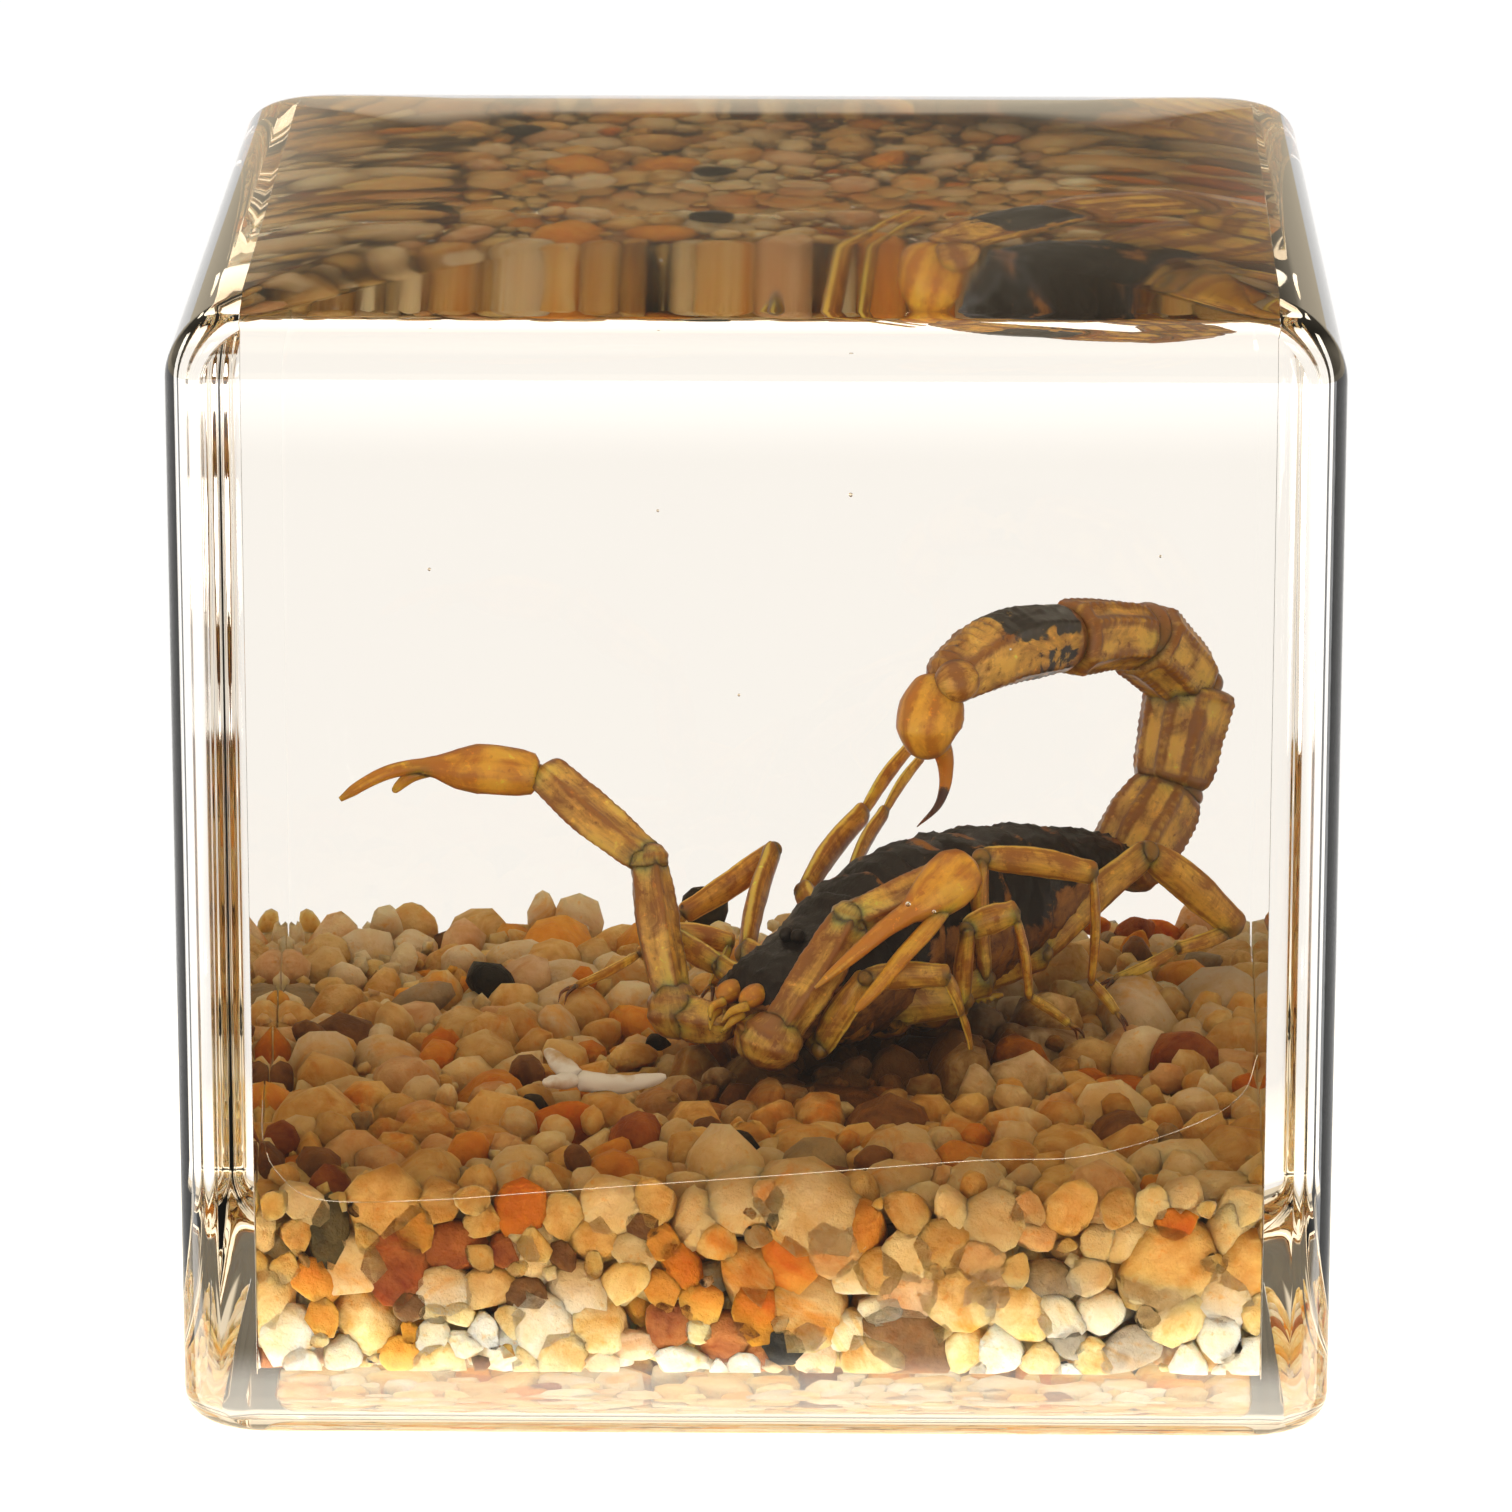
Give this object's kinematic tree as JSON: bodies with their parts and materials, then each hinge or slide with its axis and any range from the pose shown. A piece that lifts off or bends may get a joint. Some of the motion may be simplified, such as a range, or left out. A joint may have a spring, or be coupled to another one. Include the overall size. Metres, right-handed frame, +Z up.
{
  "type": "scorpion in resin block",
  "caption": "Small dried scorpion on a bed of river gravel, cast in a clear resin block with rounded edges; a paperweight or display piece.",
  "frame": {"origin": "centre of the underside, on the surface the block stands on", "axes": "+Z up; the front face, across which the scorpion faces left, looks towards -Y; +X to the right as seen from the front"},
  "size_m": [0.044, 0.044, 0.045],
  "materials": {
    "clear_resin": "polished, clear cast resin, very slightly warm",
    "river_gravel": "mixed cream, pink, ochre, brown and black stones, wet-looking in the resin",
    "white_shell": "chalky",
    "amber_chitin": "satin, translucent amber-brown, darker on the back"
  },
  "bodies": {
    "root": {"resin_base": "clear_resin", "resin_cover": "clear_resin", "gravel_bed": "river_gravel", "shell_fragment": "white_shell", "scorpion": "amber_chitin"}
  },
  "joints": []
}
